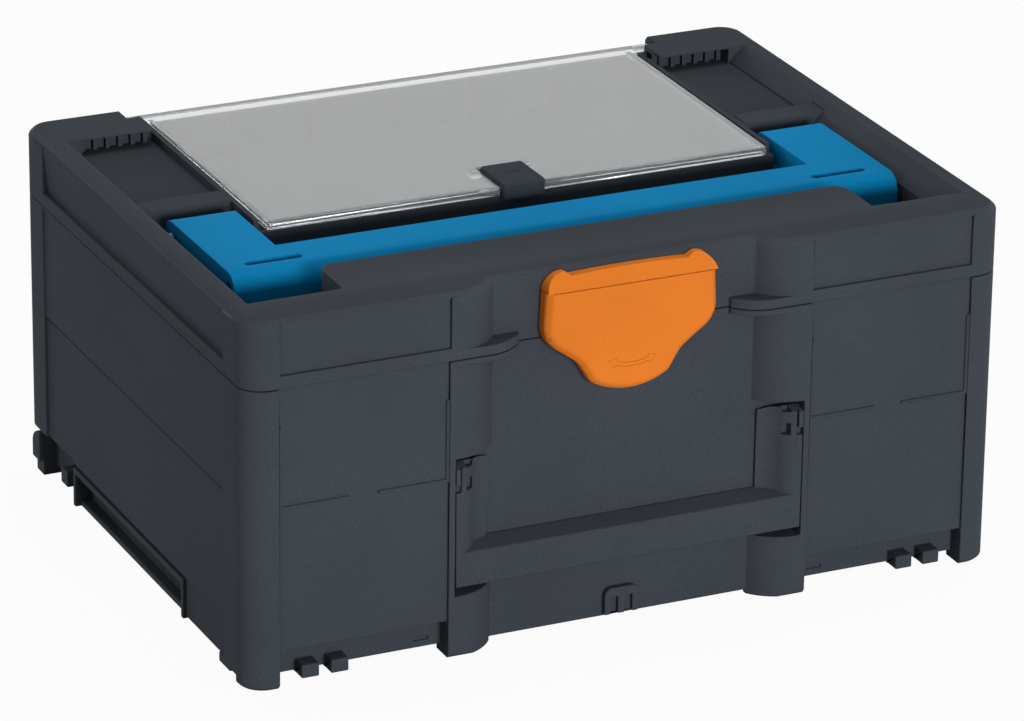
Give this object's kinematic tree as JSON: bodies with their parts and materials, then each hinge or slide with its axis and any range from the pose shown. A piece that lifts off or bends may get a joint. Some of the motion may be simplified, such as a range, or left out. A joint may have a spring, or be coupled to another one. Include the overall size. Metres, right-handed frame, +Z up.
{
  "type": "stackable tool case",
  "caption": "Stackable tool case with a hinged lid, a covered compartment and side trays in the lid, a carry handle, a folding front handle and a rotary latch.",
  "frame": {"origin": "on the floor under the middle of the case", "axes": "+X to the right seen from the front, -Y to the front, +Z up"},
  "size_m": [0.396, 0.296, 0.187],
  "materials": {
    "case_plastic": "fine moulded grain",
    "rail_plastic": "smooth moulded",
    "tray_plastic": "fine moulded grain",
    "cover_clear": "clear, lightly frosted",
    "clip_plastic": "fine moulded grain",
    "handle_blue": "satin moulded",
    "latch_orange": "satin moulded",
    "pin_steel": "plain turned"
  },
  "bodies": {
    "base": {"base_tub": "case_plastic", "side_rail_left": "rail_plastic", "side_rail_right": "rail_plastic", "lid_hinge_pin_left": "pin_steel", "lid_hinge_pin_right": "pin_steel", "front_handle_pin_left": "pin_steel", "front_handle_pin_right": "pin_steel"},
    "lid": {"lid_shell": "case_plastic", "lid_liner": "case_plastic", "compartment_tray": "tray_plastic", "cover_hinge_pin_left": "pin_steel", "cover_hinge_pin_right": "pin_steel", "carry_handle_pin_left": "pin_steel", "carry_handle_pin_right": "pin_steel", "latch_axle": "pin_steel", "latch_retaining_ring": "pin_steel"},
    "cover": {"clear_cover": "cover_clear", "cover_clip_pin": "pin_steel"},
    "clip": {"cover_clip": "clip_plastic"},
    "bow": {"carry_handle": "handle_blue"},
    "grip": {"front_handle": "case_plastic"},
    "latch": {"latch_cover": "latch_orange", "latch_carrier": "latch_orange"}
  },
  "joints": [
    {"name": "lid_hinge", "type": "hinge", "parent": "base", "child": "lid", "pos_m": [0, 0.144, 0.15245], "axis": [-1, 0, 0], "range_deg": [0, 105]},
    {"name": "carry_handle_hinge", "type": "hinge", "parent": "lid", "child": "bow", "pos_m": [0, -0.0005, 0.1745], "axis": [-1, 0, 0], "range_deg": [0, 95]},
    {"name": "cover_hinge", "type": "hinge", "parent": "lid", "child": "cover", "pos_m": [0, 0.1423, 0.18], "axis": [-1, 0, 0], "range_deg": [0, 105]},
    {"name": "clip_hinge", "type": "hinge", "parent": "cover", "child": "clip", "pos_m": [0, 0.0055, 0.1802], "axis": [-1, 0, 0], "range_deg": [0, 45]},
    {"name": "latch_turn", "type": "hinge", "parent": "lid", "child": "latch", "pos_m": [0, -0.1413, 0.164], "axis": [0, 1, 0], "range_deg": [-180, 180]},
    {"name": "front_handle_hinge", "type": "hinge", "parent": "base", "child": "grip", "pos_m": [0, -0.1418, 0.094], "axis": [-1, 0, 0], "range_deg": [0, 95]}
  ]
}
